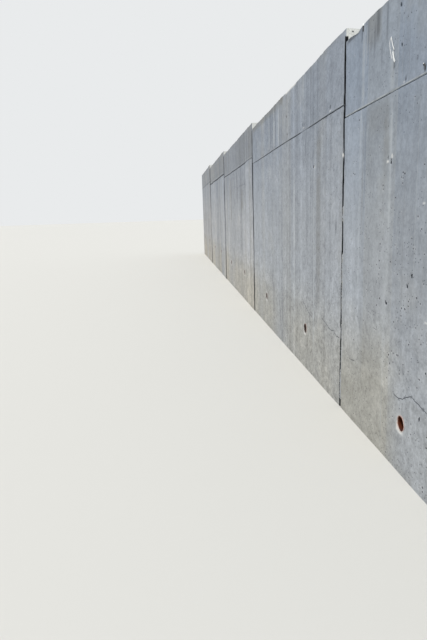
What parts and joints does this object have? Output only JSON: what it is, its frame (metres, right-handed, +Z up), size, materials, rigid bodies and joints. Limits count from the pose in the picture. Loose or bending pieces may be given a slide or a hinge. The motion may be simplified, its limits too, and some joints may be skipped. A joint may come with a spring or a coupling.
{
  "type": "highway retaining wall",
  "caption": "Stepped concrete roadside retaining wall in bays, each with a lower and an upper lift, boarded movement joints and open weep pipes.",
  "frame": {"origin": "centre of the row at the foot of the wall, at ground level at the low end", "axes": "+X along the wall towards its low end, -Y out of the exposed face towards the road, +Z up"},
  "size_m": [24.975, 0.308, 3.475],
  "materials": {
    "concrete": "matte",
    "joint_board": "matte",
    "pipe": "satin"
  },
  "bodies": {
    "root": {"stem_1": "concrete", "stem_2": "concrete", "stem_3": "concrete", "stem_4": "concrete", "stem_5": "concrete", "crest_1": "concrete", "crest_2": "concrete", "crest_3": "concrete", "crest_4": "concrete", "crest_5": "concrete", "joint_board_1": "joint_board", "joint_board_2": "joint_board", "joint_board_3": "joint_board", "joint_board_4": "joint_board", "weep_pipe_1": "pipe", "weep_pipe_2": "pipe", "weep_pipe_3": "pipe", "weep_pipe_4": "pipe", "weep_pipe_5": "pipe", "weep_pipe_6": "pipe", "weep_pipe_7": "pipe", "weep_pipe_8": "pipe", "weep_pipe_9": "pipe", "weep_pipe_10": "pipe"}
  },
  "joints": []
}
